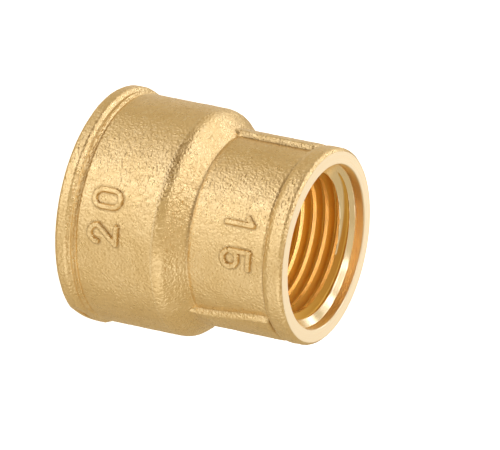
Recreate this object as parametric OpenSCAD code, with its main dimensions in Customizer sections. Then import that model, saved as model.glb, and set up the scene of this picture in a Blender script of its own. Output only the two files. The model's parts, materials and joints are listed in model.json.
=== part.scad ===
// Brass reducing coupling, female G 3/4 to female G 1/2, one hot forging with two tapped ends.
// It stands on its large end face: the origin is the centre of that face, and +Z runs along the
// bore toward the small end. The two grip ribs lie on the X axis. Millimetres.
// The forging is given as separate zones that meet face to face, because each has its own
// finish: blasted skin outside, turned end faces, and tapped threads.

/* [Overall] */
// Length from the large end face to the small end face
coupling_l = 32; // [31:0.1:34]
// Thickness of the tapped layer outside the thread roots
tapped_layer = 1; // [0.9:0.05:1.1]

/* [Large end] */
// Outer radius of the large barrel
large_barrel_r = 15.4; // [15:0.05:15.6]
// Distance from the large end face to the start of the shoulder
large_barrel_l = 13.9; // [13.7:0.1:14.1]
// Outer radius of the bead round the large mouth
large_bead_r = 16.05; // [15.7:0.05:16.6]
// Width of the full height of the large bead
large_bead_w = 1.7; // [1.4:0.1:2.2]
// Length of the slope from the large bead down to the barrel
large_bead_slope = 1.2; // [0.8:0.1:1.6]
// Radius at the crests of the large thread, half of its tapping drill
large_crest_r = 12.25; // [12.1:0.05:12.35]
// Radius at the roots of the large thread
large_root_r = 13.2205; // [13.2:0.0005:13.25]
// Depth of the plain wall of the large mouth, before its lead-in cone
large_mouth_depth = 1.3; // [1:0.1:1.6]
// Depth of the step inside, measured from the large end face
step_depth = 14.2; // [13.8:0.1:14.4]

/* [Small end] */
// Outer radius of the small barrel
small_barrel_r = 12.6; // [12.3:0.05:12.7]
// Outer radius of the collar round the small mouth
small_collar_r = 13.25; // [12.95:0.05:13.6]
// Width of the collar, its rounded edge included
small_collar_w = 3; // [2.4:0.1:3.2]
// Radius at the crests of the small thread, half of its tapping drill
small_crest_r = 9.5; // [9.35:0.05:9.55]
// Radius at the roots of the small thread
small_root_r = 10.4775; // [10.45:0.0005:10.5]
// Depth of the plain wall of the small mouth, before its lead-in cone
small_mouth_depth = 1.3; // [1:0.1:1.6]

/* [Shoulder] */
// Slope of the shoulder against the axis, in degrees
shoulder_slope = 43; // [40:1:45]
// Radius of the round between the large barrel and the shoulder
shoulder_round = 2.5; // [2:0.1:3.2]

/* [Threads] */
// Pitch of both threads, 14 turns to the inch
thread_pitch = 1.814; // [1.75:0.001:1.85]
// Angle between the two flanks of a thread, in degrees
flank_angle = 55; // [50:1:60]

/* [Grip ribs] */
// Angle that one grip rib spans round the small barrel, in degrees
rib_span = 47; // [30:1:70]

/* [Size marks] */
// Direction of the size marks round the axis, in degrees from +X
mark_turn = 285.5; // [230:0.5:310]
// Height of the figures along the axis
mark_h = 4.6; // [3.5:0.1:5.2]
// Width of one figure
mark_w = 3; // [2.4:0.1:3.2]
// Gap between two figures
mark_gap = 1.7; // [0.8:0.1:2]
// Width of the strokes
stroke_w = 0.8; // [0.5:0.05:0.9]
// Height of the strokes over the barrel
stroke_relief = 0.4; // [0.25:0.05:0.5]

/* [Hidden] */
$fn = 96;

// The full Whitworth form is 0.6403 of its pitch deep, with a root and a crest of equal width
full_depth = 0.6403 * thread_pitch;
root_w = thread_pitch / 2 - full_depth * tan(flank_angle / 2);
// Where the tapped layer ends and the forged skin begins
large_layer_r = large_root_r + tapped_layer;
small_layer_r = small_root_r + tapped_layer;

// The plain mouths are a little wider than the thread roots
mouth_clearance = 0.57;
large_mouth_r = large_root_r + mouth_clearance;
small_mouth_r = small_root_r + mouth_clearance;
mouth_chamfer = 0.1;
// Turned end faces stop short of the forged edge, which is broken by a chamfer
face_depth = 0.45;
large_face_r = large_bead_r - 0.55;
small_face_r = small_collar_r - 0.45;

// The shoulder is a round that leaves the barrel along the axis and runs into a cone
round_end_z = large_barrel_l + shoulder_round * sin(shoulder_slope);
round_end_r = large_barrel_r - shoulder_round * (1 - cos(shoulder_slope));
shoulder_end_z = round_end_z + (round_end_r - small_barrel_r) / tan(shoulder_slope);
// Where the cone reaches the tops of the ribs
rib_start_z = shoulder_end_z - (small_collar_r - small_barrel_r) / tan(shoulder_slope);
collar_z = coupling_l - small_collar_w;

// Inside, the step joins the two bores
step_layer_l = 0.8;
step_l = 1.8;
step_chamfer = 0.6;
step_bore_r = small_crest_r + 0.3;
small_thread_z = step_depth + step_l;
small_thread_end = coupling_l - small_mouth_depth;

// A closed outline of [radius, height] points, turned round the axis
module turned(outline) {
    rotate_extrude()
        polygon(outline);
}

// Solid ring of one tapped bore. Its mouth is at height 0, where a 45 degree lead-in cone starts,
// and it runs down to -bore_l. The grooves are rings, so that the crests between them are true
// cylinders, and the first one is half a pitch below the mouth.
module tapped_ring(crest_r, root_r, mouth_r, layer_r, bore_l, grooves) {
    overcut = 0.2;
    root_half = root_w / 2;
    overcut_half = root_half + (root_r - crest_r + overcut) * tan(flank_angle / 2);
    cone_l = mouth_r - crest_r;
    rotate_extrude()
        difference() {
            translate([crest_r, -bore_l])
                square([layer_r - crest_r, bore_l]);
            polygon([
                [crest_r - overcut, overcut],
                [mouth_r + overcut, overcut],
                [crest_r - overcut, -cone_l - overcut]
            ]);
            for (i = [0 : grooves - 1])
                translate([0, -(i + 0.5) * thread_pitch])
                    polygon([
                        [crest_r - overcut, -overcut_half],
                        [root_r, -root_half],
                        [root_r, root_half],
                        [crest_r - overcut, overcut_half]
                    ]);
        }
}

// Straight barrel of the large end, under the bead
module large_barrel() {
    bead_end = large_bead_w + large_bead_slope;
    color("goldenrod")
        turned([
            [large_layer_r, bead_end],
            [large_barrel_r, bead_end],
            [large_barrel_r, large_barrel_l],
            [large_layer_r, large_barrel_l]
        ]);
}

// Rounded cone between the two barrels
module shoulder() {
    round_r = large_barrel_r - shoulder_round;
    color("goldenrod")
        rotate_extrude()
            intersection() {
                translate([small_layer_r, large_barrel_l])
                    square([large_barrel_r, shoulder_end_z - large_barrel_l]);
                difference() {
                    union() {
                        translate([round_r, large_barrel_l])
                            circle(r = shoulder_round);
                        polygon([
                            [0, large_barrel_l],
                            [round_r, large_barrel_l],
                            [round_end_r, round_end_z],
                            [small_barrel_r, shoulder_end_z],
                            [0, shoulder_end_z]
                        ]);
                    }
                    square([large_layer_r, step_depth + step_layer_l]);
                }
            }
}

// Straight barrel of the small end, from the shoulder to the collar
module small_barrel() {
    color("goldenrod")
        turned([
            [small_layer_r, shoulder_end_z],
            [small_barrel_r, shoulder_end_z],
            [small_barrel_r, collar_z],
            [small_layer_r, collar_z]
        ]);
}

// Raised bead round the large mouth
module large_end_bead() {
    color("goldenrod")
        turned([
            [large_layer_r, face_depth],
            [large_face_r, face_depth],
            [large_face_r, 0],
            [large_bead_r, large_bead_r - large_face_r],
            [large_bead_r, large_bead_w],
            [large_barrel_r, large_bead_w + large_bead_slope],
            [large_layer_r, large_bead_w + large_bead_slope]
        ]);
}

// Raised collar round the small mouth
module small_end_collar() {
    color("goldenrod")
        turned([
            [small_layer_r, collar_z],
            [small_collar_r, collar_z],
            [small_collar_r, coupling_l - (small_collar_r - small_face_r)],
            [small_face_r, coupling_l],
            [small_face_r, coupling_l - face_depth],
            [small_layer_r, coupling_l - face_depth]
        ]);
}

// Turned end face and plain mouth of the large end
module large_end_face() {
    color("khaki")
        turned([
            [large_mouth_r + mouth_chamfer, 0],
            [large_face_r, 0],
            [large_face_r, face_depth],
            [large_layer_r, face_depth],
            [large_layer_r, large_mouth_depth],
            [large_mouth_r, large_mouth_depth],
            [large_mouth_r, mouth_chamfer]
        ]);
}

// Turned end face and plain mouth of the small end
module small_end_face() {
    color("khaki")
        turned([
            [small_mouth_r, small_thread_end],
            [small_layer_r, small_thread_end],
            [small_layer_r, coupling_l - face_depth],
            [small_face_r, coupling_l - face_depth],
            [small_face_r, coupling_l],
            [small_mouth_r + mouth_chamfer, coupling_l],
            [small_mouth_r, coupling_l - mouth_chamfer]
        ]);
}

// Lead-in cone and tapped bore of the large end
module large_thread() {
    grooves = 5;
    color("peru")
        translate([0, 0, large_mouth_depth])
            mirror([0, 0, 1])
                tapped_ring(large_crest_r, large_root_r, large_mouth_r, large_layer_r,
                            step_depth - large_mouth_depth, grooves);
}

// Lead-in cone and tapped bore of the small end
module small_thread() {
    grooves = 6;
    color("peru")
        translate([0, 0, small_thread_end])
            tapped_ring(small_crest_r, small_root_r, small_mouth_r, small_layer_r,
                        small_thread_end - small_thread_z, grooves);
}

// Step that joins the two bores, with its edge broken
module inner_step() {
    color("peru")
        turned([
            [step_bore_r + step_chamfer, step_depth],
            [large_layer_r, step_depth],
            [large_layer_r, step_depth + step_layer_l],
            [small_layer_r, step_depth + step_layer_l],
            [small_layer_r, small_thread_z],
            [step_bore_r, small_thread_z],
            [step_bore_r, step_depth + step_chamfer]
        ]);
}

// Two flat ribs along the small barrel that a tool or a gloved hand holds
module grip_ribs() {
    color("goldenrod")
        for (side = [0, 180])
            rotate([0, 0, side - rib_span / 2])
                rotate_extrude(angle = rib_span)
                    polygon([
                        [small_barrel_r, shoulder_end_z],
                        [small_collar_r, rib_start_z],
                        [small_collar_r, collar_z],
                        [small_barrel_r, collar_z]
                    ]);
}

// Upright bar of full figure height
module upright() {
    translate([-stroke_w / 2, -mark_h / 2])
        square([stroke_w, mark_h]);
}

// Level bar of full figure width whose middle is at height y
module level_bar(y) {
    translate([-mark_w / 2, y - stroke_w / 2])
        square([mark_w, stroke_w]);
}

// Ring of figure width whose middle is at height y
module bowl(y) {
    translate([0, y])
        difference() {
            circle(d = mark_w);
            circle(d = mark_w - 2 * stroke_w);
        }
}

module figure_0() {
    straight = mark_h - mark_w;
    for (side = [-1, 1]) {
        translate([side * (mark_w - stroke_w) / 2 - stroke_w / 2, -straight / 2])
            square([stroke_w, straight]);
        intersection() {
            bowl(side * straight / 2);
            translate([-mark_w / 2, side > 0 ? straight / 2 : -mark_h / 2])
                square([mark_w, mark_w / 2]);
        }
    }
}

module figure_1() {
    flag = 0.9;
    upright();
    polygon([
        [-stroke_w / 2, mark_h / 2],
        [-stroke_w / 2 - flag, mark_h / 2 - flag],
        [-stroke_w / 2 - flag, mark_h / 2 - flag - stroke_w],
        [-stroke_w / 2, mark_h / 2 - stroke_w]
    ]);
}

module figure_2() {
    bowl_y = (mark_h - mark_w) / 2;
    bar_top = stroke_w - mark_h / 2;
    inner_w = mark_w - 2 * stroke_w;
    difference() {
        union() {
            translate([0, bowl_y])
                circle(d = mark_w);
            translate([-mark_w / 2, -mark_h / 2])
                square([mark_w, bowl_y + mark_h / 2]);
        }
        translate([0, bowl_y])
            circle(d = inner_w);
        // What lies left and right of the slanting stroke
        polygon([
            [-mark_w, bowl_y],
            [inner_w / 2, bowl_y],
            [-mark_w / 2, bar_top],
            [-mark_w, bar_top]
        ]);
        polygon([
            [mark_w / 2, bowl_y],
            [mark_w, bowl_y],
            [mark_w, bar_top],
            [stroke_w - mark_w / 2, bar_top]
        ]);
    }
}

module figure_5() {
    bowl_y = (mark_w - mark_h) / 2;
    level_bar((mark_h - stroke_w) / 2);
    translate([-mark_w / 2, bowl_y])
        square([stroke_w, mark_h / 2 - bowl_y]);
    difference() {
        bowl(bowl_y);
        translate([-mark_w / 2, bowl_y - stroke_w])
            square([mark_w / 2, stroke_w]);
    }
}

// Raises the figures given as children over a barrel of radius barrel_r, centred at height z.
// The figures stand upright toward +Z, or toward -Z when flipped.
module raised_mark(barrel_r, z, flipped) {
    spacing = mark_w + mark_gap;
    intersection() {
        translate([0, 0, z])
            rotate([90, 0, mark_turn - 270])
                linear_extrude(height = 2 * barrel_r)
                    rotate(flipped ? 180 : 0)
                        for (i = [0, 1])
                            translate([(i - 0.5) * spacing, 0])
                                children(i);
        translate([0, 0, z - mark_h])
            difference() {
                cylinder(r = barrel_r + stroke_relief, h = 2 * mark_h);
                cylinder(r = barrel_r, h = 2 * mark_h);
            }
    }
}

// Nominal bore of the large end, 20 mm
module large_size_mark() {
    mark_z = 6.9;
    color("goldenrod")
        raised_mark(large_barrel_r, mark_z, true) {
            figure_2();
            figure_0();
        }
}

// Nominal bore of the small end, 15 mm
module small_size_mark() {
    mark_z = 25;
    color("goldenrod")
        raised_mark(small_barrel_r, mark_z, false) {
            figure_1();
            figure_5();
        }
}

large_barrel();
shoulder();
small_barrel();
large_end_bead();
small_end_collar();
large_end_face();
small_end_face();
large_thread();
small_thread();
inner_step();
grip_ribs();
large_size_mark();
small_size_mark();
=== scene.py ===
"""Brass reducing coupling: visual model, materials, light and camera.

The coupling stands on its large end, with its bore along +Z. Lengths are in metres, and the
profiles are worked out in millimetres and scaled once, in mesh_object().
"""

import json
import math

import bpy
import numpy as np
from mathutils import Matrix, Vector


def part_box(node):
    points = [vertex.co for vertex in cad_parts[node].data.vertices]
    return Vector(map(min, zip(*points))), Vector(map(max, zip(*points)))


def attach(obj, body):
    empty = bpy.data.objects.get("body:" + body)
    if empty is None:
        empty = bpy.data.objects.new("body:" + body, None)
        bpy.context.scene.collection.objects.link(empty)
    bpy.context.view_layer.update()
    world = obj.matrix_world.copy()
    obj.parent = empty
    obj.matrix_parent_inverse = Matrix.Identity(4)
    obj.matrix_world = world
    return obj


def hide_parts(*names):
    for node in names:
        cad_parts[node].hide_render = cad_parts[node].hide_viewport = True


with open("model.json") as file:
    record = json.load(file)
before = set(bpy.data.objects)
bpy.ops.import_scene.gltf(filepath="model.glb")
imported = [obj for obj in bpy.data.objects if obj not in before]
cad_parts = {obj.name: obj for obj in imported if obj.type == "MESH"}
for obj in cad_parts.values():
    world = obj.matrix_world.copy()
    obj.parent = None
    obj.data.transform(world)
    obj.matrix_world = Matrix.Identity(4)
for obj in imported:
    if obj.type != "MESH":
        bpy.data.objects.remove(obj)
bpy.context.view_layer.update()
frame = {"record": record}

MM = 0.001


# ---------------------------------------------------------------- sizes, from the CAD frame


def node_mm(node):
    """(largest radius, lowest z, highest z) of a CAD node, in millimetres."""
    low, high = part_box(node)
    return high.x / MM, low.z / MM, high.z / MM


def mount(name):
    """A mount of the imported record."""
    return next(m for m in frame["record"]["mounts"] if m["name"] == name)


BEAD_R, _, BEAD_END = node_mm("large_end_bead")
LARGE_R, _, LARGE_END = node_mm("large_barrel")
_, _, SHOULDER_END = node_mm("shoulder")
SMALL_R, _, COLLAR_START = node_mm("small_barrel")
COLLAR_R, _, LENGTH = node_mm("small_end_collar")
LARGE_FACE_R, _, LARGE_MOUTH_DEPTH = node_mm("large_end_face")
SMALL_FACE_R, SMALL_THREAD_END, _ = node_mm("small_end_face")
LARGE_LAYER_R, _, STEP_DEPTH = node_mm("large_thread")
SMALL_LAYER_R, SMALL_THREAD_START, _ = node_mm("small_thread")
LARGE_CREST_R = mount("large_thread")["dims"]["r_mm"]
SMALL_CREST_R = mount("small_thread")["dims"]["r_mm"]
RIB_HALF_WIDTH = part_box("grip_ribs")[1].y / MM
MARKS = {
    "large_size_mark": {"radius": LARGE_R, "figures": "20", "flipped": True},
    "small_size_mark": {"radius": SMALL_R, "figures": "15", "flipped": False},
}

# Both threads are 14 turns to the inch, Whitworth form, with crests cut off by the tapping drill
PITCH = 25.4 / 14
FLANK = math.radians(27.5)
ROOT_ROUND = 0.1373 * PITCH
LARGE_ROOT_R = 13.2205
SMALL_ROOT_R = 10.4775
# The plain mouths are wider than the thread's root by MOUTH_CLEARANCE
MOUTH_CLEARANCE = 0.57
MOUTH_CHAMFER = 0.1
# Thickness of the turned end rings and of the step between the bores
FACE_DEPTH = 0.45
STEP_LAYER = 0.8

# Grid of the skin: columns round the axis, the angle of each, and the step between rows
COLUMNS = 720
ANGLES = np.arange(COLUMNS) * 2 * math.pi / COLUMNS
STEP = 0.14

# Cone between the barrels: it starts with a fillet at SHOULDER_CORNER and ends at SHOULDER_FOOT
SHOULDER_ROUND = 2.5
SHOULDER_SLOPE = math.radians(43)
SHOULDER_CORNER = LARGE_END + SHOULDER_ROUND * math.tan(SHOULDER_SLOPE / 2)
SHOULDER_FOOT = SHOULDER_CORNER + (LARGE_R - SMALL_R) / math.tan(SHOULDER_SLOPE)

# Raised figures: stroke, size of a figure over its strokes, distance between middles, height
# over the skin, and half the size of the patch of skin that carries a mark
STROKE = 0.8
MARK_WIDTH = 3.0
MARK_HEIGHT = 4.6
MARK_SPACING = 4.7
MARK_RELIEF = 0.4
MARK_REACH_ROUND = 5.2
MARK_REACH_Z = 3

# Creases round the skin that get painted shade, strongest on the side that faces the camera: z,
# half width, its share at the front, which faces the front angle below, and its share all round the
# rest
CREASES = (
    (BEAD_END - 0.1, 0.2, 0.45, 0.0),
    (LARGE_END + 0.25, 0.22, 0.35, 0.0),
    (SHOULDER_FOOT, 0.2, 0.8, 0.0),
    (COLLAR_START, 0.16, 0.1, 0.45),
)
CREASE_SHADE_FRONT = math.radians(270)
CREASE_SHADE_SPREAD = math.radians(30)


# ---------------------------------------------------------------- outlines and meshes


def unit(v):
    return v / np.linalg.norm(v)


def smooth(x):
    """Soft step from 0 at x = 0 to 1 at x = 1."""
    x = np.clip(x, 0, 1)
    return x * x * (3 - 2 * x)


def rounded_path(corners, step=STEP):
    """Points [z, r] along straight lines through corners (z, r, fillet radius), no further
    apart than step. The first and last corners stay sharp."""
    points = [np.array(corners[0][:2], float)]
    for before, corner, after in zip(corners, corners[1:], corners[2:]):
        here = np.array(corner[:2], float)
        back = unit(np.array(before[:2], float) - here)
        ahead = unit(np.array(after[:2], float) - here)
        half = math.acos(float(np.clip(back @ ahead, -1, 1))) / 2
        turn = math.pi - 2 * half
        radius = corner[2]
        centre = here + unit(back + ahead) * radius / math.sin(half)
        spoke = here + back * radius / math.tan(half) - centre
        sign = -math.copysign(1, back[0] * ahead[1] - back[1] * ahead[0])
        count = max(2, math.ceil(turn * radius / step), math.ceil(turn / math.radians(12)))
        for k in range(count + 1):
            angle = sign * turn * k / count
            c, s = math.cos(angle), math.sin(angle)
            spun = np.array([c * spoke[0] - s * spoke[1], s * spoke[0] + c * spoke[1]])
            points.append(centre + spun)
    points.append(np.array(corners[-1][:2], float))
    path = [points[0]]
    for a, b in zip(points, points[1:]):
        parts = max(1, math.ceil(np.linalg.norm(b - a) / step))
        path += [a + (b - a) * k / parts for k in range(1, parts + 1)]
    path = np.array(path)
    apart = np.r_[True, np.linalg.norm(np.diff(path, axis=0), axis=1) > 1e-6]
    return path[apart]


def turn_path(path, columns=COLUMNS):
    """Grid of points, rows along path [z, r] and columns round the axis."""
    angle = np.arange(columns) * 2 * math.pi / columns
    z, r = path[:, :1], path[:, 1:]
    return np.stack([r * np.cos(angle), r * np.sin(angle), z + 0 * angle], axis=-1)


def grid_faces(index, close_rows, close_columns):
    """Quads between neighbouring points of a grid of vertex numbers."""
    if close_rows:
        index = np.concatenate([index, index[:1]], axis=0)
    if close_columns:
        index = np.concatenate([index, index[:, :1]], axis=1)
    corners = (index[:-1, :-1], index[:-1, 1:], index[1:, 1:], index[1:, :-1])
    return np.stack([c.ravel() for c in corners], axis=1)


def signed_volume(points, faces):
    """Volume inside the quads, negative if they face inward."""
    a, b, c, d = (points[faces[:, k]] for k in range(4))
    return float((np.cross(b - a, c - a) * a).sum() + (np.cross(c - a, d - a) * a).sum()) / 6


def mesh_object(name, points, faces, material, slot, *nodes, shade=None):
    """One closed piece from points in millimetres and quads, facing outward, which stands for
    the CAD nodes and rides on the one body. shade is how dark its material is at each point."""
    if signed_volume(points, faces) < 0:
        faces = faces[:, ::-1]
    faces, kept = clean_faces(points, faces)
    mesh = bpy.data.meshes.new(name)
    mesh.from_pydata((points[kept] * MM).tolist(), [], faces)
    mesh.shade_smooth()
    mesh.set_sharp_from_angle(angle=math.radians(38))
    if shade is not None:
        mesh.attributes.new("shade", "FLOAT", "POINT").data.foreach_set("value", shade[kept])
    piece = bpy.data.objects.new(name, mesh)
    bpy.context.scene.collection.objects.link(piece)
    mesh.materials.append(material)
    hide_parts(*nodes)
    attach(piece, "root")
    return piece


def clean_faces(points, faces):
    """Faces without repeated corners or empty ones, and the numbers of the points they use."""
    keys = np.round(points * 1e5).astype(np.int64)
    _, first, same = np.unique(keys, axis=0, return_index=True, return_inverse=True)
    merged = first[same.ravel()][faces]
    clean = []
    for face in merged.tolist():
        corners = [c for k, c in enumerate(face) if c != face[k - 1]]
        if len(set(corners)) >= 3:
            clean.append(corners)
    kept = np.unique(np.concatenate(clean))
    number = np.zeros(len(points), int)
    number[kept] = np.arange(len(kept))
    number = number.tolist()
    return [[number[c] for c in face] for face in clean], kept


def ring_piece(name, grid, material, slot, *nodes, shade=None):
    """A ring whose section is the closed line down the grid's rows."""
    rows, columns = grid.shape[:2]
    index = np.arange(rows * columns).reshape(rows, columns)
    faces = grid_faces(index, close_rows=True, close_columns=True)
    return mesh_object(name, grid.reshape(-1, 3), faces, material, slot, *nodes, shade=shade)


def patch_shell(outer, inner):
    """Points and faces of a closed shell between two grids of the same shape."""
    rows, columns = outer.shape[:2]
    top = np.arange(rows * columns).reshape(rows, columns)
    under = top + rows * columns
    walls = [
        grid_faces(np.stack([top[0], under[0]]), False, False)[:, ::-1],
        grid_faces(np.stack([top[-1], under[-1]]), False, False),
        grid_faces(np.stack([top[:, 0], under[:, 0]]), False, False),
        grid_faces(np.stack([top[:, -1], under[:, -1]]), False, False)[:, ::-1],
    ]
    faces = [grid_faces(top, False, False), grid_faces(under, False, False)[:, ::-1]]
    points = np.concatenate([outer.reshape(-1, 3), inner.reshape(-1, 3)])
    return points, np.concatenate(faces + walls)


# ---------------------------------------------------------------- forged skin


def skin_path():
    """Outline of the forged skin, from the turned large face to the turned small face."""
    return rounded_path([
        (0, LARGE_FACE_R, 0),
        (0, BEAD_R, 0.5),
        (BEAD_END - 1.3, BEAD_R, 0.6),
        (BEAD_END - 0.82, LARGE_R + 0.14, 0.1),
        (BEAD_END - 0.36, LARGE_R + 0.26, 0.12),
        (BEAD_END - 0.1, LARGE_R - 0.13, 0.05),
        (BEAD_END + 0.2, LARGE_R, 0.25),
        (SHOULDER_CORNER, LARGE_R, SHOULDER_ROUND),
        (SHOULDER_FOOT, SMALL_R - 0.1, 0.08),
        (SHOULDER_FOOT + 0.5, SMALL_R, 0.5),
        (COLLAR_START - 0.28, SMALL_R, 0.2),
        (COLLAR_START, SMALL_R - 0.08, 0.05),
        (COLLAR_START + 0.3, COLLAR_R - 0.22, 0.2),
        (COLLAR_START + 0.9, COLLAR_R, 0.8),
        (LENGTH - 0.35, COLLAR_R, 0.6),
        (LENGTH, SMALL_FACE_R, 0),
    ])


def smooth_noise(rows, columns, row_mm, column_mm, size_mm, seed):
    """Seeded noise of standard deviation 1 whose bumps are about size_mm across. It joins up
    round the columns."""
    rng = np.random.default_rng(seed)
    spectrum = np.fft.rfft2(rng.standard_normal((rows, columns)))
    row_waves = np.fft.fftfreq(rows, row_mm)[:, None]
    column_waves = np.fft.rfftfreq(columns, column_mm)[None, :]
    waves = np.hypot(row_waves, column_waves) * size_mm
    noise = np.fft.irfft2(spectrum * waves * np.exp(-(waves ** 2)), s=(rows, columns))
    return noise / noise.std()


def skin_relief(path):
    """Height of the forged and blasted relief at each row and column of the skin."""
    along = np.r_[0, np.cumsum(np.linalg.norm(np.diff(path, axis=0), axis=1))]
    rows = math.ceil(along[-1] / STEP)
    column_mm = 2 * math.pi * LARGE_R / COLUMNS
    layers = (
        # size of the bumps, their height, seed
        (0.30, 0.013, 11),
        (0.7, 0.007, 12),
        (4.5, 0.014, 13),
    )
    height = sum(h * smooth_noise(rows, COLUMNS, STEP, column_mm, size, seed)
                 for size, h, seed in layers)
    at = along / along[-1] * (rows - 1)
    low = np.floor(at).astype(int)
    high = np.minimum(low + 1, rows - 1)
    share = (at - low)[:, None]
    relief = height[low] * (1 - share) + height[high] * share
    # The relief dies out at both turned edges, and stays under the outline
    edge = np.minimum(along, along[-1] - along)[:, None]
    relief = (relief - np.percentile(relief, 99.9)) * np.clip(edge / 0.6, 0, 1)
    return relief - trimmed(path) - rib_gutter(path)


def trimmed(path):
    """Depth cut off the bead on one side, where the forging's flash was trimmed off flat."""
    flat = LARGE_R + 0.03
    blend = 0.12
    facing = np.cos(ANGLES)
    over = path[:, 1:] - flat / np.maximum(facing, 0.5)[None, :]
    cut = (over + np.sqrt(over ** 2 + blend ** 2)) / 2
    return cut * (facing > 0.5) * smooth(over / 0.1 + 1)


def path_normals(path):
    """Outward normal [z, r] at each point of a path that runs toward +z."""
    slope = np.gradient(path, axis=0)
    normal = np.stack([-slope[:, 1], slope[:, 0]], axis=1)
    return normal / np.linalg.norm(normal, axis=1)[:, None]


def raise_skin(path, height, angle):
    """Grid of the path turned to each angle, moved along its normals by height [row, column]."""
    normal = path_normals(path)
    z = path[:, :1] + normal[:, :1] * height
    r = path[:, 1:] + normal[:, 1:] * height
    return np.stack([r * np.cos(angle), r * np.sin(angle), z], axis=-1)


def past_rib_edge(path, angle):
    """Distance round the skin from the nearest rib's edge, negative on the rib. The rib on +X
    narrows toward the shoulder, and the other one keeps its width."""
    half_span = math.asin(RIB_HALF_WIDTH / COLLAR_R)
    rib_l = COLLAR_START - SHOULDER_END
    narrowing = math.radians(6) * smooth((COLLAR_START - path[:, :1]) / rib_l)
    from_rib = np.abs((angle + math.pi / 2) % math.pi - math.pi / 2)[None, :]
    return (from_rib - half_span + narrowing * (np.cos(angle) > 0)[None, :]) * SMALL_R


def along_ribs(z, gap):
    """1 beside the ribs. It falls to 0 at the shoulder, and at gap before the collar."""
    return smooth(z - SHOULDER_END) * smooth((COLLAR_START - gap - z) / 0.5)


def rib_gutter(path):
    """Depth of the shallow gutter along the edges of the ribs."""
    past = past_rib_edge(path, ANGLES)
    return 0.07 * np.exp(-((past - 0.55) / 0.5) ** 2) * along_ribs(path[:, :1], 0.2)


def rib_height(path, angle):
    """Height of the two grip ribs over the skin: flat on top, with soft edges."""
    edge = 0.62
    top = rounded_path([
        (LARGE_END, COLLAR_R, 0),
        (COLLAR_START - 0.35, COLLAR_R, 0.35),
        (COLLAR_START + 0.2, SMALL_R - 0.1, 0),
    ])
    top_r = np.interp(path[:, 0], top[:, 0], top[:, 1], right=0)
    gap = top_r - path[:, 1]
    blend = 0.12
    lift = (gap + np.sqrt(gap ** 2 + blend ** 2)) / 2 - blend / 4
    lift = np.where(gap > -0.3, np.maximum(lift, 0), 0)
    return lift[:, None] * smooth(0.5 - past_rib_edge(path, angle) / edge)


def arc(centre, radius, start, end, points=9):
    """Points on an arc, with its angles in degrees."""
    angle = np.radians(np.linspace(start, end, points))
    return [(centre[0] + radius * math.cos(a), centre[1] + radius * math.sin(a)) for a in angle]


def figure_lines(figure, width, height):
    """Middle lines of a raised figure whose strokes fill width and height between them."""
    x, y = width / 2, height / 2
    bowl = y - x
    lines = {
        "0": [arc((0, bowl), x, 180, 0) + arc((0, -bowl), x, 0, -180) + [(-x, bowl)]],
        "1": [[(-0.8 * x, y - 0.8 * x), (0, y), (0, -y)]],
        "2": [arc((0, bowl), x, 180, 0) + [(-x, -y), (x, -y)]],
        "5": [[(x, y), (-x, y), (-x, -bowl)] + arc((0, -bowl), x, 150, -150)],
    }
    return lines[figure]


def distance_to_lines(u, v, lines):
    """Distance of each point (u, v) to the nearest of the lines."""
    nearest = np.full(np.broadcast(u, v).shape, np.inf)
    for line in lines:
        for (ax, ay), (bx, by) in zip(line, line[1:]):
            dx, dy = bx - ax, by - ay
            share = np.clip(((u - ax) * dx + (v - ay) * dy) / (dx * dx + dy * dy + 1e-12), 0, 1)
            nearest = np.minimum(nearest, np.hypot(u - ax - share * dx, v - ay - share * dy))
    return nearest


def mark_place(name):
    """Turn round the axis and z of the middle of a mark, where the CAD's own is."""
    low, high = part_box(name)
    middle = (low + high) / 2 / MM
    return math.atan2(middle.y, middle.x) % (2 * math.pi), middle.z


def distance_to_mark(name, z, angle):
    """Distance on the skin from the middle lines of the figures of a mark, in stroke widths."""
    mark = MARKS[name]
    turn, middle_z = mark_place(name)
    turned = (angle - turn) * mark["radius"]
    u, v = (-turned, middle_z - z) if mark["flipped"] else (turned, z - middle_z)
    width, height = MARK_WIDTH - STROKE, MARK_HEIGHT - STROKE
    figures = mark["figures"]
    lines = []
    for k, figure in enumerate(figures):
        shift = (k - (len(figures) - 1) / 2) * MARK_SPACING
        for line in figure_lines(figure, width, height):
            lines.append([(x + shift, y) for x, y in line])
    return distance_to_lines(u, v, lines) / STROKE


def skin_rows(path, z0, z1):
    """Numbers of the first and last rows whose z is nearest to z0 and z1."""
    return int(np.abs(path[:, 0] - z0).argmin()), int(np.abs(path[:, 0] - z1).argmin())


def painted_crease_shade(path, angle):
    """Share of painted shade in the creases of the skin: along its outline, beside the ribs and
    round the figures."""
    z = path[:, :1]
    turned = np.angle(np.exp(1j * (angle - CREASE_SHADE_FRONT)))
    front = np.exp(-(turned / CREASE_SHADE_SPREAD) ** 2)[None, :]
    share = sum((rest + (front_share - rest) * front) * np.exp(-((z - at) / width) ** 2)
                for at, width, front_share, rest in CREASES)
    # Painted shade along the edges of the ribs, more on the -X side
    past = past_rib_edge(path, angle)
    beside_rib = np.where(np.cos(angle) < 0, 0.7, 0.25)[None, :]
    share = share + beside_rib * np.exp(-((past - 0.25) / 0.2) ** 2) * along_ribs(z, 0.1)
    # Painted shade round the foot of each figure's strokes
    for name in MARKS:
        away = distance_to_mark(name, z, angle[None, :])
        share = share + 0.6 * np.exp(-((away - 0.6) / 0.15) ** 2)
    return np.minimum(share, 1)


def skin_ring(name, path, grid, z0, z1, inside, material, *nodes):
    """Zone of the skin from z0 to z1. inside gives the corners (z, r) of its inner side, from
    the z of the zone's own first and last rows."""
    first, last = skin_rows(path, z0, z1)
    closing = np.array(inside(path[first, 0], path[last, 0]))
    loop = np.concatenate([grid[first:last + 1], turn_path(closing)])
    share = painted_crease_shade(path[first:last + 1], ANGLES)
    share = np.r_[share.ravel(), np.zeros(len(closing) * COLUMNS)]
    return ring_piece(name, loop, material, "blasted_brass", *nodes, shade=share)


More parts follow.
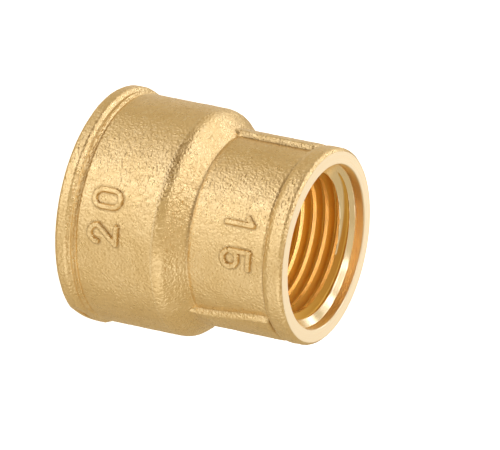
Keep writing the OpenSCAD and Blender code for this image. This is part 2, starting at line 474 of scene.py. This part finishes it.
def halve_steps(rows):
    """The rows with the mean of each two neighbours put between them."""
    between = (rows[:-1] + rows[1:]) / 2
    out = np.empty((len(rows) * 2 - 1, *rows.shape[1:]))
    out[0::2] = rows
    out[1::2] = between
    return out


def skin_patch(name, path, relief, z0, z1, angles, extra, fine, material, *nodes):
    """Raised pieces that sit on the skin from z0 to z1, one over each range of angles.
    extra(path, angle) is their height over the skin. Where that is nothing, they are sunk.
    A fine patch has half the skin's steps."""
    underside = -0.5
    first, last = skin_rows(path, z0, z1)
    steps = halve_steps if fine else np.array
    part = steps(path[first:last + 1])
    turn = 2 * math.pi / COLUMNS
    points, faces, shares, count = [], [], [], 0
    for low, high in angles:
        column = np.arange(round(low / turn), round(high / turn) + 1)
        base = steps(steps(relief[first:last + 1, column % COLUMNS]).T).T
        angle = steps(column * turn)
        height = extra(part, angle)
        sunk = 0.012 + 0.12 * np.exp(-height / 0.02)
        outer = raise_skin(part, base + height - sunk, angle)
        inner = raise_skin(part, base * 0 + underside, angle)
        shell_points, shell_faces = patch_shell(outer, inner)
        points.append(shell_points)
        faces.append(shell_faces + count)
        shares.append(np.tile(painted_crease_shade(part, angle).ravel(), 2))
        count += len(shell_points)
    mesh = np.concatenate(points), np.concatenate(faces)
    return mesh_object(name, *mesh, material, "blasted_brass", *nodes, shade=np.concatenate(shares))


def forged_skin(material):
    """The blasted outside, cut into the zones of the CAD model on its straight stretches."""
    path = skin_path()
    relief = skin_relief(path)
    grid = raise_skin(path, relief, ANGLES)
    bead_cut = BEAD_END - 0.1
    barrel_cut = LARGE_END + 0.1
    cone_cut = SHOULDER_END
    collar_cut = COLLAR_START

    def straight(radius):
        return lambda start, end: [(end, radius), (start, radius)]

    def bead_inside(start, end):
        return [(end, LARGE_LAYER_R), (FACE_DEPTH, LARGE_LAYER_R), (FACE_DEPTH, LARGE_FACE_R)]

    def shoulder_inside(start, end):
        step = STEP_DEPTH + STEP_LAYER
        return [(end, SMALL_LAYER_R), (step, SMALL_LAYER_R),
                (step, LARGE_LAYER_R), (start, LARGE_LAYER_R)]

    def collar_inside(start, end):
        face = LENGTH - FACE_DEPTH
        return [(face, SMALL_FACE_R), (face, SMALL_LAYER_R), (start, SMALL_LAYER_R)]

    for node, z0, z1, inside in (
        ("large_end_bead", 0, bead_cut, bead_inside),
        ("large_barrel", bead_cut, barrel_cut, straight(LARGE_LAYER_R)),
        ("shoulder", barrel_cut, cone_cut, shoulder_inside),
        ("small_barrel", cone_cut, collar_cut, straight(SMALL_LAYER_R)),
        ("small_end_collar", collar_cut, LENGTH, collar_inside),
    ):
        skin_ring(node + "_skin", path, grid, z0, z1, inside, material, node)

    half_span = math.asin(RIB_HALF_WIDTH / COLLAR_R) + 0.05
    skin_patch("grip_rib_pair", path, relief, LARGE_END + 1.5, COLLAR_START,
               [(-half_span, half_span), (math.pi - half_span, math.pi + half_span)],
               rib_height, False, material, "grip_ribs")
    for name, mark in MARKS.items():
        mark_piece(name, path, relief, mark, material)


def mark_piece(name, path, relief, mark, material):
    """Raised figures, round-backed as a worn die leaves them."""
    turn, middle_z = mark_place(name)
    reach = MARK_REACH_ROUND / mark["radius"]

    def extra(part, angle):
        away = distance_to_mark(name, part[:, :1], angle[None, :])
        return MARK_RELIEF * smooth((0.56 - away) / 0.28)

    skin_patch(name + "_figures", path, relief, middle_z - MARK_REACH_Z, middle_z + MARK_REACH_Z,
               [(turn - reach, turn + reach)], extra, True, material, name)


# ---------------------------------------------------------------- turned and tapped bores


def end_face(name, z_face, inward, face_r, mouth_r, layer_r, depth, material, *nodes):
    """Turned ring and plain mouth at z_face. inward is +1 if the part lies toward +z of it."""
    def at(distance):
        return z_face + inward * distance

    corners = [
        (at(depth), layer_r, 0),
        (at(FACE_DEPTH), layer_r, 0.01),
        (at(FACE_DEPTH), face_r, 0.01),
        (at(0), face_r, 0.06),
        (at(0), mouth_r + MOUTH_CHAMFER, 0.04),
        (at(MOUTH_CHAMFER), mouth_r, 0.04),
        (at(depth), mouth_r, 0),
    ]
    grid = turn_path(rounded_path(corners, 0.25))
    return ring_piece(name, grid, material, "turned_brass", *nodes)


def thread_profile(depth):
    """One pitch of the thread as [z, depth], from the middle of a crest to the next: flat
    crests, straight flanks and round roots."""
    # Where the root's arc meets the flank, from the middle of the root
    root_z = ROOT_ROUND * math.cos(FLANK)
    root_depth = depth - ROOT_ROUND * (1 - math.sin(FLANK))
    crest_z = PITCH / 2 - root_z - root_depth * math.tan(FLANK)
    half = np.concatenate([
        np.linspace(0, crest_z, 4)[:-1],
        np.linspace(crest_z, PITCH / 2 - root_z, 5)[:-1],
        np.linspace(PITCH / 2 - root_z, PITCH / 2, 7),
    ])
    flank = np.maximum(half - crest_z, 0) / math.tan(FLANK)
    to_root = PITCH / 2 - half
    root = depth - ROOT_ROUND + np.sqrt(np.maximum(ROOT_ROUND ** 2 - to_root ** 2, 0))
    half_depth = np.where(to_root < root_z, root, flank)
    z = np.concatenate([half, PITCH - half[-2:0:-1]])
    return np.stack([z, np.concatenate([half_depth, half_depth[-2:0:-1]])], axis=1)


def tapped_bore(name, z0, z1, crest_r, root_r, layer_r, mouth_at_top, plain_l, start_z,
                material, *nodes):
    """Sleeve with a right-hand thread inside, from z0 to z1. A 45 degree lead-in cone cuts its
    crests at the mouth, and the thread runs out plain_l before the other end. start_z shifts
    the helix along the bore. Painted shade darkens its grooves by their depth."""
    mouth_r = root_r + MOUTH_CLEARANCE
    profile = thread_profile(root_r - crest_r)
    per_pitch = len(profile)
    turns = math.ceil((z1 - z0) / PITCH) + 2
    columns = COLUMNS // 2
    angle = np.arange(columns) * 2 * math.pi / columns
    lead = angle / (2 * math.pi) * PITCH
    base_z = z0 - PITCH + start_z
    rows_z = np.concatenate([base_z + k * PITCH + profile[:, 0] for k in range(turns)])
    rows_depth = np.tile(profile[:, 1], turns)
    z = rows_z[:, None] + lead[None, :]
    depth = rows_depth[:, None] + 0 * z
    run_out = 1.2
    to_mouth = (z1 - z) if mouth_at_top else (z - z0)
    to_bottom = (z - z0) if mouth_at_top else (z1 - z)
    depth = depth * smooth((to_bottom - plain_l) / run_out)
    cone_r = mouth_r - np.maximum(to_mouth, 0)
    # Painted shade in the grooves, as a share of their depth, for the material's shade attribute
    groove = np.where(crest_r + depth > cone_r, depth / (root_r - crest_r), 0)
    r = np.maximum(crest_r + depth, cone_r)
    # Points beyond an end slide back to it, with the radius that the thread has there
    for end in (z0, z1):
        beyond = z < z0 if end == z0 else z > z1
        for column in range(columns):
            past = beyond[:, column]
            if past.any():
                order = np.argsort(z[:, column])
                r[past, column] = np.interp(end, z[order, column], r[order, column])
        z = np.where(beyond, end, z)
    inner = np.stack([r * np.cos(angle), r * np.sin(angle), z], axis=-1)
    rows = len(rows_z)
    index = np.arange(rows * columns).reshape(rows, columns)
    # Past the last column each row goes on as the row one pitch further up
    shifted = np.minimum(np.arange(rows) + per_pitch, rows - 1)
    seam = np.concatenate([index[:, -1:], index[shifted][:, :1]], axis=1)
    start_rows = np.arange(per_pitch + 1)
    start_seam = np.stack([index[0, -1] + 0 * start_rows, index[start_rows, 0]], axis=1)
    outer = turn_path(np.array([(z0, layer_r), (z1, layer_r)]), columns)
    outer_index = rows * columns + np.arange(2 * columns).reshape(2, columns)
    faces = [
        grid_faces(index, False, False),
        grid_faces(seam, False, False),
        grid_faces(start_seam, False, False),
        grid_faces(np.stack([index[-1], outer_index[1]]), False, True),
        grid_faces(outer_index[::-1], False, True),
        grid_faces(np.stack([outer_index[0], index[0]]), False, True),
    ]
    points = np.concatenate([inner.reshape(-1, 3), outer.reshape(-1, 3)])
    shade = np.concatenate([groove.ravel(), np.zeros(2 * columns)])
    return mesh_object(name, points, np.concatenate(faces), material, "tapped_brass", *nodes,
                       shade=shade)


def bores(turned, tapped):
    """Both turned mouths, both threads and the step between them."""
    large_mouth_r = LARGE_ROOT_R + MOUTH_CLEARANCE
    small_mouth_r = SMALL_ROOT_R + MOUTH_CLEARANCE
    end_face("large_face_turned", 0, 1, LARGE_FACE_R, large_mouth_r, LARGE_LAYER_R,
             LARGE_MOUTH_DEPTH, turned, "large_end_face")
    end_face("small_face_turned", LENGTH, -1, SMALL_FACE_R, small_mouth_r, SMALL_LAYER_R,
             LENGTH - SMALL_THREAD_END, turned, "small_end_face")
    tapped_bore("large_thread_helix", LARGE_MOUTH_DEPTH, STEP_DEPTH,
                LARGE_CREST_R, LARGE_ROOT_R, LARGE_LAYER_R,
                False, 2.4, 0.4, tapped, "large_thread")
    tapped_bore("small_thread_helix", SMALL_THREAD_START, SMALL_THREAD_END,
                SMALL_CREST_R, SMALL_ROOT_R, SMALL_LAYER_R,
                True, 3.4, 1.57, tapped, "small_thread")
    bore_r = SMALL_CREST_R + 0.3
    chamfer = 0.6
    step = rounded_path([
        (SMALL_THREAD_START, bore_r, 0),
        (STEP_DEPTH + chamfer, bore_r, 0.2),
        (STEP_DEPTH, bore_r + chamfer, 0.2),
        (STEP_DEPTH, LARGE_LAYER_R, 0.01),
        (STEP_DEPTH + STEP_LAYER, LARGE_LAYER_R, 0.01),
        (STEP_DEPTH + STEP_LAYER, SMALL_LAYER_R, 0.01),
        (SMALL_THREAD_START, SMALL_LAYER_R, 0),
    ], 0.3)
    ring_piece("inner_step_turned", turn_path(step, COLUMNS // 2), turned, "turned_brass",
               "inner_step")


# ---------------------------------------------------------------- materials


class Nodes:
    """Short calls for building one material's nodes."""

    def __init__(self, name):
        self.material = bpy.data.materials.new(name)
        self.material.use_nodes = True
        self.tree = self.material.node_tree
        self.shader = self.tree.nodes["Principled BSDF"]
        coords = self.tree.nodes.new("ShaderNodeTexCoord")
        self.place = coords.outputs["Object"]

    def link(self, value, socket):
        if hasattr(value, "is_output"):
            self.tree.links.new(value, socket)
        else:
            socket.default_value = value

    def math(self, operation, a, b=0.0):
        node = self.tree.nodes.new("ShaderNodeMath")
        node.operation = operation
        self.link(a, node.inputs[0])
        self.link(b, node.inputs[1])
        return node.outputs[0]

    def noise(self, scale, detail=2.0, roughness=0.5, vector=None):
        node = self.tree.nodes.new("ShaderNodeTexNoise")
        node.inputs["Scale"].default_value = scale
        node.inputs["Detail"].default_value = detail
        node.inputs["Roughness"].default_value = roughness
        self.link(vector or self.place, node.inputs["Vector"])
        return node.outputs["Fac"]

    def ramp(self, value, low, high, out_low=0.0, out_high=1.0):
        node = self.tree.nodes.new("ShaderNodeMapRange")
        node.clamp = True
        limits = {"From Min": low, "From Max": high, "To Min": out_low, "To Max": out_high}
        for name, number in limits.items():
            node.inputs[name].default_value = number
        self.link(value, node.inputs["Value"])
        return node.outputs["Result"]

    def mix(self, share, a, b):
        node = self.tree.nodes.new("ShaderNodeMix")
        node.data_type = "RGBA"
        self.link(share, node.inputs["Factor"])
        self.link(a, node.inputs["A"])
        self.link(b, node.inputs["B"])
        return node.outputs["Result"]

    def bump(self, height, distance):
        node = self.tree.nodes.new("ShaderNodeBump")
        node.inputs["Strength"].default_value = 1.0
        node.inputs["Distance"].default_value = distance
        self.link(height, node.inputs["Height"])
        return node.outputs["Normal"]

    def facing_axis(self):
        """How far the surface faces along the bore, from 0 on a cylinder to 1 on an end face."""
        coords = self.tree.nodes.new("ShaderNodeTexCoord")
        split = self.tree.nodes.new("ShaderNodeSeparateXYZ")
        self.link(coords.outputs["Normal"], split.inputs[0])
        return self.math("ABSOLUTE", split.outputs[2])

    def attribute(self, name):
        node = self.tree.nodes.new("ShaderNodeAttribute")
        node.attribute_name = name
        return node.outputs["Fac"]

    def pointiness(self):
        return self.tree.nodes.new("ShaderNodeNewGeometry").outputs["Pointiness"]

    def cylinder_place(self, along_round):
        """Vector of radius, height and turn round the axis, the last scaled by along_round."""
        split = self.tree.nodes.new("ShaderNodeSeparateXYZ")
        self.link(self.place, split.inputs[0])
        x, y, z = split.outputs
        squares = self.math("ADD", self.math("MULTIPLY", x, x), self.math("MULTIPLY", y, y))
        radius = self.math("SQRT", squares)
        turn = self.math("MULTIPLY", self.math("ARCTAN2", y, x), along_round)
        join = self.tree.nodes.new("ShaderNodeCombineXYZ")
        self.link(radius, join.inputs[0])
        self.link(z, join.inputs[1])
        self.link(turn, join.inputs[2])
        return join.outputs[0]


def brass(name, color, roughness):
    """Metal of one plain color and roughness, for a finish to be added."""
    nodes = Nodes(name)
    nodes.shader.inputs["Metallic"].default_value = 1.0
    nodes.shader.inputs["Base Color"].default_value = (*color, 1)
    nodes.shader.inputs["Roughness"].default_value = roughness
    return nodes


def blasted_brass():
    """Shot-blasted skin: satin, with fine glittering grain, cloudy tone and darker pits, and with
    painted shade in its hollows and creases.
    """
    nodes = brass("blasted_brass", (0.93, 0.70, 0.36), 0.3)
    clouds = nodes.noise(260, 3, 0.55)
    pits = nodes.noise(2900, 2, 0.6)
    edges = nodes.pointiness()
    cloudy = nodes.ramp(clouds, 0.35, 0.65)
    tone = nodes.mix(cloudy, (0.90, 0.665, 0.325, 1), (0.96, 0.73, 0.385, 1))
    tone = nodes.mix(nodes.ramp(pits, 0.55, 0.75, 0, 0.45), tone, (0.62, 0.41, 0.17, 1))
    # Painted shade darkens hollows; the next line makes convex edges lighter, as worn
    tone = nodes.mix(nodes.ramp(edges, 0.49, 0.42, 0, 0.6), tone, (0.50, 0.31, 0.11, 1))
    tone = nodes.mix(nodes.ramp(edges, 0.52, 0.60, 0, 0.5), tone, (1.0, 0.82, 0.50, 1))
    # Painted shade in the creases, as the shade attribute gives it, a little patchy
    scale = nodes.math("MULTIPLY", nodes.attribute("shade"), nodes.ramp(clouds, 0.3, 0.6, 0.75, 1))
    tone = nodes.mix(scale, tone, (0.27, 0.165, 0.06, 1))
    nodes.link(tone, nodes.shader.inputs["Base Color"])
    rough = nodes.ramp(nodes.noise(900, 2, 0.5), 0.3, 0.7, 0.25, 0.36)
    nodes.link(rough, nodes.shader.inputs["Roughness"])
    grain = nodes.noise(3300, 1, 0.5)
    nodes.link(nodes.bump(grain, 0.00011), nodes.shader.inputs["Normal"])
    return nodes.material


def turned_brass():
    """Turned faces: bright, with fine rings left by the tool."""
    nodes = brass("turned_brass", (0.97, 0.80, 0.50), 0.3)
    rings = nodes.noise(9000, 2, 0.6, nodes.cylinder_place(0.00002))
    tone = nodes.mix(nodes.ramp(rings, 0.35, 0.7), (0.96, 0.79, 0.50, 1), (1.0, 0.87, 0.62, 1))
    nodes.link(tone, nodes.shader.inputs["Base Color"])
    nodes.link(nodes.ramp(rings, 0.3, 0.7, 0.26, 0.36), nodes.shader.inputs["Roughness"])
    nodes.link(nodes.bump(rings, 0.000008), nodes.shader.inputs["Normal"])
    return nodes.material


def tapped_brass():
    """Cut threads: glossy, with lines along the cut, and painted shade on the flanks and in the
    grooves."""
    nodes = brass("tapped_brass", (0.93, 0.70, 0.36), 0.22)
    lines = nodes.noise(6000, 2, 0.6, nodes.cylinder_place(0.00004))
    tone = nodes.mix(nodes.ramp(lines, 0.3, 0.7), (0.98, 0.80, 0.50, 1), (1.0, 0.86, 0.58, 1))
    # Painted shade: flanks, which face along the bore, and deep grooves turn darker orange and
    # rougher
    flank = nodes.ramp(nodes.facing_axis(), 0.74, 0.86)
    dark = nodes.math("MAXIMUM", flank, nodes.ramp(nodes.attribute("shade"), 0.5, 0.75))
    tone = nodes.mix(dark, tone, (0.79, 0.49, 0.11, 1))
    nodes.link(tone, nodes.shader.inputs["Base Color"])
    rough = nodes.ramp(lines, 0.3, 0.7, 0.20, 0.27)
    rough = nodes.math("ADD", rough, nodes.math("MULTIPLY", dark, 0.25))
    nodes.link(rough, nodes.shader.inputs["Roughness"])
    nodes.link(nodes.bump(lines, 0.000006), nodes.shader.inputs["Normal"])
    return nodes.material


# ---------------------------------------------------------------- camera, floor and light


MIDDLE = Vector((0, 0, LENGTH * MM / 2))
LAMP_TINT = (0.90, 0.96, 1.13)


def camera_axes():
    """Right, up and toward-the-camera directions of the picture. The camera looks down at the
    small end from in front, and is rolled so that the bore runs to the right and down."""
    above = math.radians(25.1)
    round_axis = math.radians(8.6)
    roll = math.radians(11.6)
    level = Vector((math.sin(round_axis), -math.cos(round_axis), 0))
    toward = level * math.cos(above) + Vector((0, 0, math.sin(above)))
    across = Vector((-math.cos(round_axis), -math.sin(round_axis), 0))
    along = across.cross(toward)
    right = along * math.cos(roll) + across * math.sin(roll)
    up = across * math.cos(roll) - along * math.sin(roll)
    return right, up, toward


def place_camera(axes):
    """Long lens, at a distance that gives the picture's mild perspective."""
    right, up, toward = axes
    distance = 0.9
    # The coupling is left of the picture's middle
    past_right, past_up = 0.00417, -0.00001
    aim = MIDDLE + right * past_right + up * past_up
    data = bpy.data.cameras.new("camera")
    data.sensor_width = 36
    data.lens = 490.5
    camera = bpy.data.objects.new("camera", data)
    bpy.context.scene.collection.objects.link(camera)
    turn = Matrix((right, up, toward)).transposed()
    camera.matrix_world = Matrix.Translation(aim + toward * distance) @ turn.to_4x4()
    bpy.context.scene.camera = camera


def direction(axes, parts):
    """World direction from its parts to the right, up and toward the camera."""
    return sum((axis * part for axis, part in zip(axes, parts)), Vector()).normalized()


def softbox(name, axes, parts, size, radiance):
    """Square area light that faces the coupling from a direction (right, up, toward)."""
    distance = 0.3
    way = direction(axes, parts)
    data = bpy.data.lights.new(name, "AREA")
    data.size = size
    data.energy = radiance * math.pi * size ** 2
    data.color = LAMP_TINT
    light = bpy.data.objects.new(name, data)
    bpy.context.scene.collection.objects.link(light)
    light.location = MIDDLE + way * distance
    light.rotation_mode = "QUATERNION"
    light.rotation_quaternion = way.to_track_quat("Z", "Y")


def studio_world(axes):
    """Warm, even surroundings with two darker patches: brown over the camera, which draws the
    creases, and orange-brown on the right, which shows in the first groove of the thread."""
    world = bpy.data.worlds.new("studio")
    world.use_nodes = True
    tree = world.node_tree
    place = tree.nodes.new("ShaderNodeTexCoord")
    patches = (
        # direction (right, up, toward), angles of its edge and middle, color
        ((0, 0.82, 0.57), 42, 8, (0.19, 0.12, 0.045, 1)),
        ((0.95, -0.18, 0.15), 30, 12, (0.40, 0.17, 0.03, 1)),
    )
    seen = (0.57, 0.48, 0.33, 1)
    for parts, edge, middle, color in patches:
        toward_patch = tree.nodes.new("ShaderNodeVectorMath")
        toward_patch.operation = "DOT_PRODUCT"
        toward_patch.inputs[1].default_value = direction(axes, parts)
        share = tree.nodes.new("ShaderNodeMapRange")
        share.interpolation_type = "SMOOTHSTEP"
        share.inputs["From Min"].default_value = math.cos(math.radians(edge))
        share.inputs["From Max"].default_value = math.cos(math.radians(middle))
        mix = tree.nodes.new("ShaderNodeMix")
        mix.data_type = "RGBA"
        tree.links.new(place.outputs["Generated"], toward_patch.inputs[0])
        tree.links.new(toward_patch.outputs["Value"], share.inputs["Value"])
        tree.links.new(share.outputs["Result"], mix.inputs["Factor"])
        if isinstance(seen, tuple):
            mix.inputs["A"].default_value = seen
        else:
            tree.links.new(seen, mix.inputs["A"])
        mix.inputs["B"].default_value = color
        seen = mix.outputs["Result"]
    tree.links.new(seen, tree.nodes["Background"].inputs["Color"])
    bpy.context.scene.world = world


def light_scene(axes):
    """Ring of softboxes, brightest in front on the left and over the small end, with three
    small lamps on the right that glint on the lead-in cone, and one lamp under the bore."""
    studio_world(axes)
    boxes = (
        # name, direction (right, up, toward), size, radiance
        ("front_left", (-0.70, 0.38, 0.60), 0.19, 0.72),
        ("over_left", (-0.58, 0.65, 0.49), 0.14, 0.75),
        ("left", (-0.73, -0.18, 0.66), 0.18, 0.52),
        ("low_left", (-0.57, -0.78, 0.23), 0.18, 0.38),
        ("low_front", (-0.02, -0.82, 0.57), 0.26, 0.58),
        ("low_right", (0.59, -0.24, 0.77), 0.18, 0.12),
        ("front_right", (0.59, 0.42, 0.69), 0.14, 1.25),
        ("glint_front", (0.67, 0.09, 0.73), 0.05, 3.0),
        ("glint_over", (0.78, 0.56, 0.27), 0.05, 4.0),
        ("glint_back", (0.70, 0.58, -0.42), 0.05, 4.0),
        ("overhead_right", (0.60, 0.78, 0.15), 0.18, 0.75),
        ("overhead_back", (0.52, 0.69, -0.51), 0.18, 0.45),
        ("overhead_left", (-0.42, 0.88, 0.20), 0.16, 0.62),
        ("back", (-0.05, 0.45, -0.89), 0.18, 0.20),
        ("right", (0.77, 0.0, -0.64), 0.18, 0.60),
    )
    for name, parts, size, radiance in boxes:
        softbox(name, axes, parts, size, radiance)
    bore_lamp(diameter=0.028, radiance=2.8)


def bore_lamp(diameter, radiance):
    """Disc lamp just under the large mouth, which makes the bores glow as on a white table."""
    data = bpy.data.lights.new("bore_lamp", "AREA")
    data.shape = "DISK"
    data.size = diameter
    data.energy = radiance * math.pi * math.pi * diameter ** 2 / 4
    lamp = bpy.data.objects.new("bore_lamp", data)
    bpy.context.scene.collection.objects.link(lamp)
    gap = 0.001
    lamp.location = (0, 0, -gap)
    lamp.rotation_euler = (math.pi, 0, 0)
    lamp.visible_camera = False


def floor():
    """Plain pale floor under the large end. It shows to the camera only, so that it stays
    plain and the light on the coupling is all from the studio lights."""
    material = bpy.data.materials.new("pale_floor")
    material.use_nodes = True
    shader = material.node_tree.nodes["Principled BSDF"]
    shader.inputs["Base Color"].default_value = (0.9, 0.9, 0.9, 1)
    shader.inputs["Roughness"].default_value = 0.9
    shader.inputs["Emission Color"].default_value = (1, 1, 1, 1)
    shader.inputs["Emission Strength"].default_value = 0.95
    size = 2.0
    mesh = bpy.data.meshes.new("floor")
    corners = [(-size, -size, 0), (size, -size, 0), (size, size, 0), (-size, size, 0)]
    mesh.from_pydata(corners, [], [(0, 1, 2, 3)])
    mesh.materials.append(material)
    plane = bpy.data.objects.new("floor", mesh)
    bpy.context.scene.collection.objects.link(plane)
    plane.visible_glossy = False
    plane.visible_diffuse = False
    plane.visible_shadow = False


# ---------------------------------------------------------------- the scene

forged_skin(blasted_brass())
bores(turned_brass(), tapped_brass())
picture_axes = camera_axes()
place_camera(picture_axes)
light_scene(picture_axes)
floor()
bpy.context.scene.view_settings.view_transform = "Standard"

bpy.context.view_layer.update()
